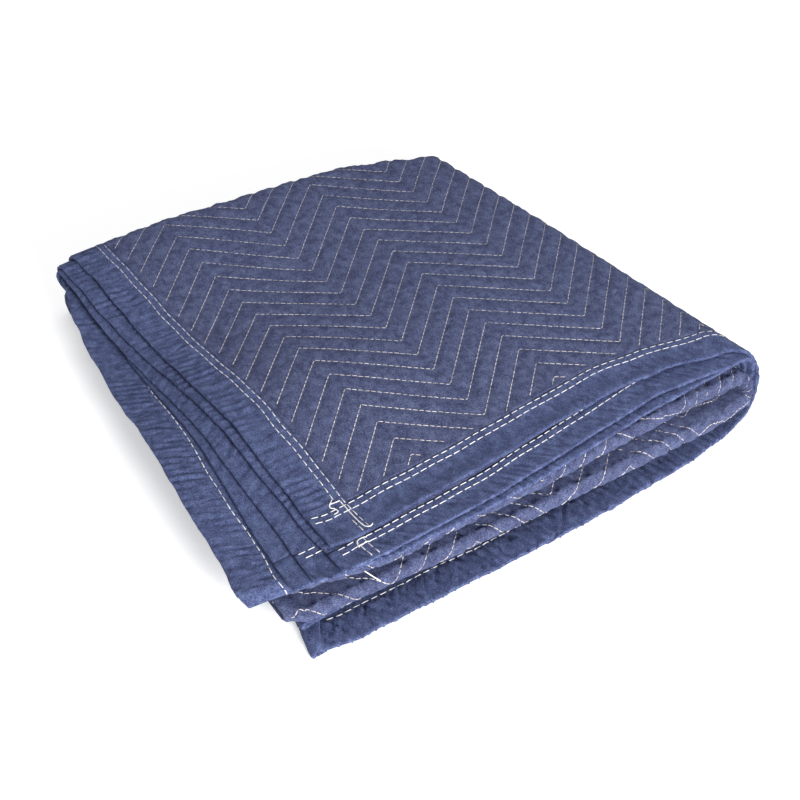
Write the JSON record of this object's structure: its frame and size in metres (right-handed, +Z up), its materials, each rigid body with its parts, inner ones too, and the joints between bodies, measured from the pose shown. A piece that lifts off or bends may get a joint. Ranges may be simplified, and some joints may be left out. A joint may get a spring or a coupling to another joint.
{
  "type": "folded moving blanket",
  "caption": "Quilted moving blanket with stitched edge binding, folded into a flat, nearly square pile that rests on a surface.",
  "frame": {"origin": "middle of the bounding box, on the surface that the pile rests on", "axes": "+Z up out of the pile, +Y to the back bend and along the longer side, +X to the right-hand bend"},
  "size_m": [0.5352, 0.5396, 0.0705],
  "materials": {
    "quilted_cloth": "matt dark blue non-woven, quilted in pale zigzag lines",
    "binding_cloth": "matt blue non-woven with a slight sheen, sewn with two pale rows",
    "thread": "off-white polyester sewing thread"
  },
  "bodies": {
    "root": {"quilted_panel": "quilted_cloth", "binding_front_hem": "binding_cloth", "binding_far_hem": "binding_cloth", "binding_upper_side": "binding_cloth", "binding_lower_side": "binding_cloth"}
  },
  "joints": []
}
